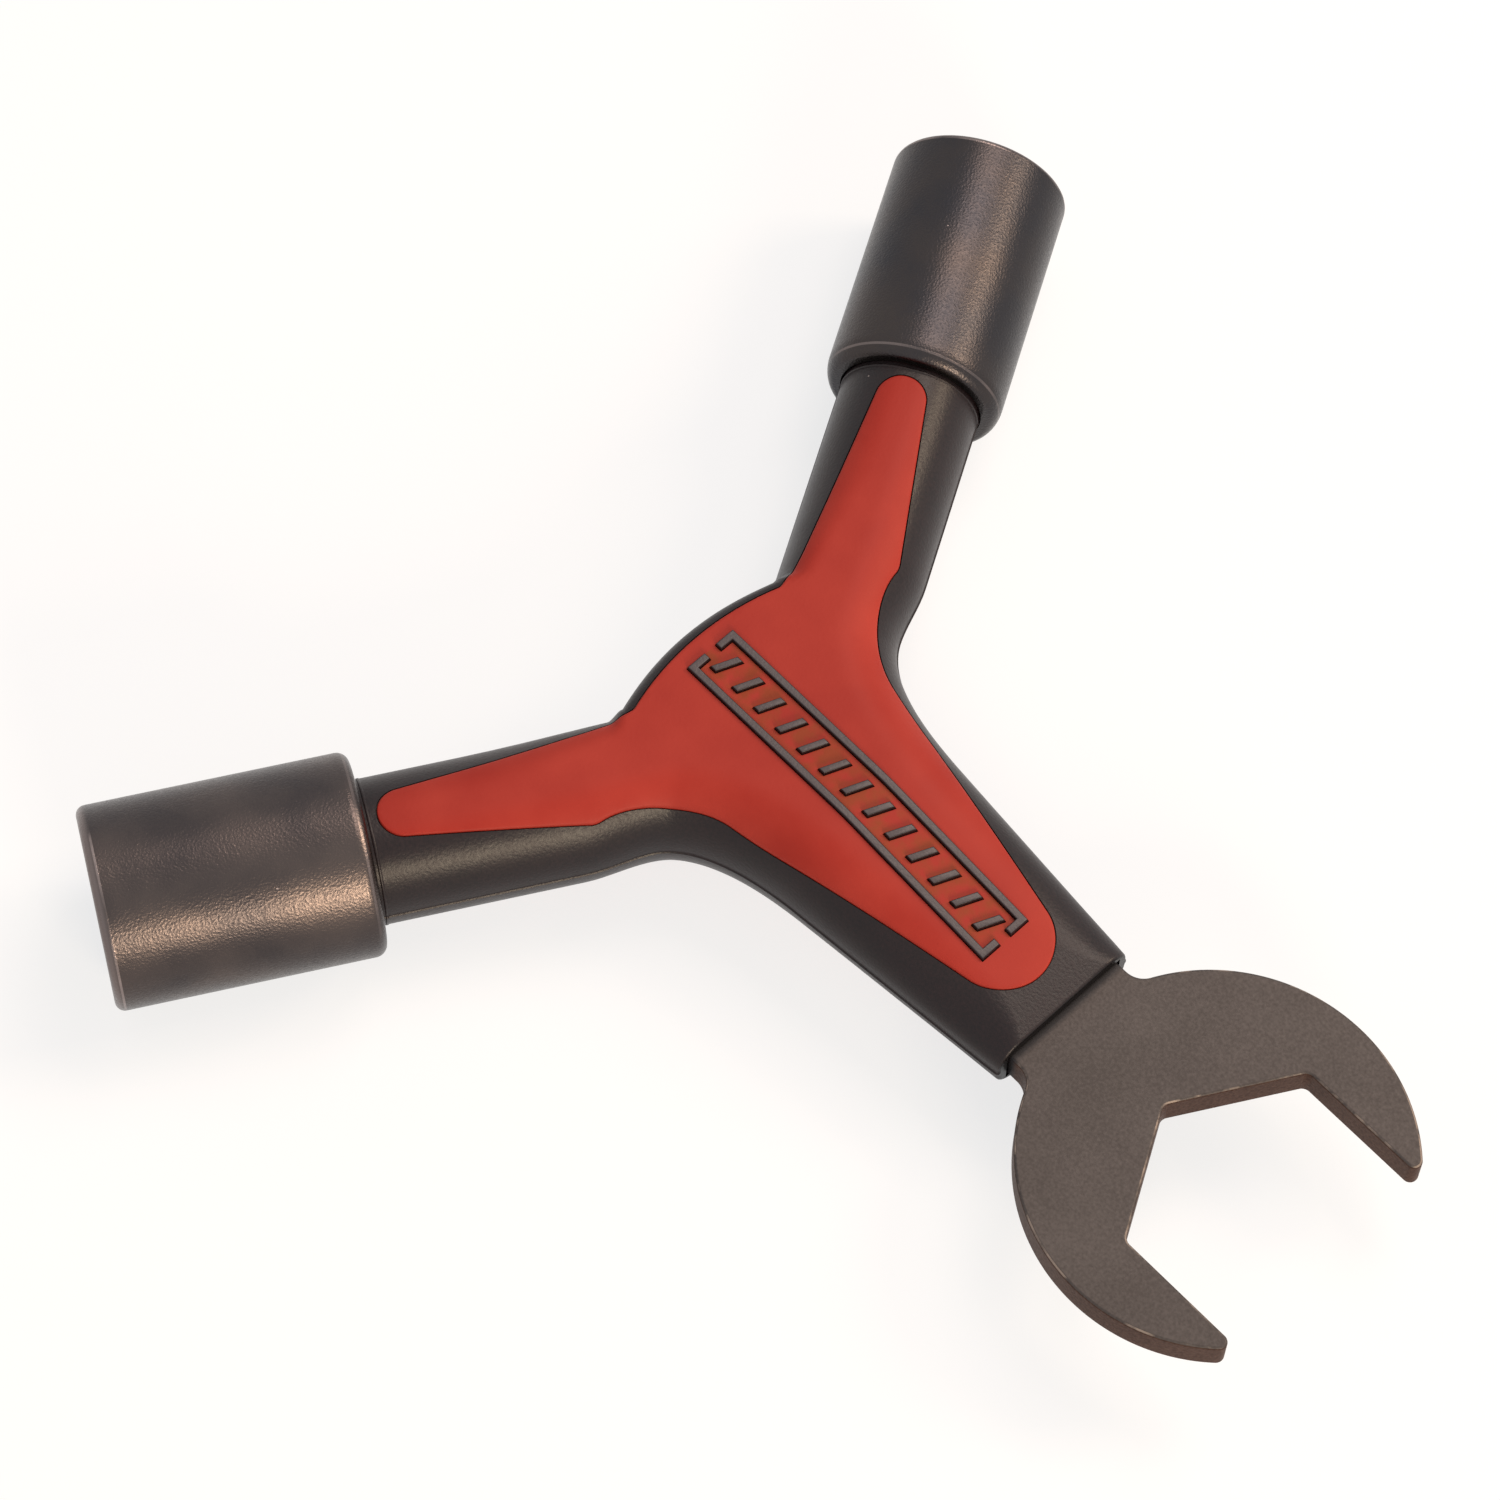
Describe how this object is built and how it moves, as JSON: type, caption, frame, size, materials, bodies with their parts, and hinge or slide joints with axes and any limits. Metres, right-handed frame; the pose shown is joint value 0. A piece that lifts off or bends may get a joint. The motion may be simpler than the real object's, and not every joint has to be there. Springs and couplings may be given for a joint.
{
  "type": "three-way skate tool",
  "caption": "Three-armed skate tool: a moulded grip with a red panel on each side holds an open jaw for large nuts and two hexagonal sockets for smaller ones.",
  "frame": {"origin": "on the outer face of the back panel, below the point where the axes of the three arms meet", "axes": "+X along the jaw's arm, +Z out of the front, square to the flat jaw plate; the axle socket's arm is at 120 degrees and the kingpin socket's arm at 240 degrees about +Z"},
  "size_m": [0.1108, 0.1246, 0.0195],
  "materials": {
    "grip_plastic": "fine moulded grain, satin",
    "panel_plastic": "smooth moulded, satin",
    "plate_steel": "phosphated, matt warm grey",
    "socket_steel": "black oxide, speckled"
  },
  "bodies": {
    "root": {"grip_body": "grip_plastic", "front_inlay": "panel_plastic", "back_inlay": "panel_plastic", "wrench_plate": "plate_steel", "axle_socket": "socket_steel", "kingpin_socket": "socket_steel"}
  },
  "joints": []
}
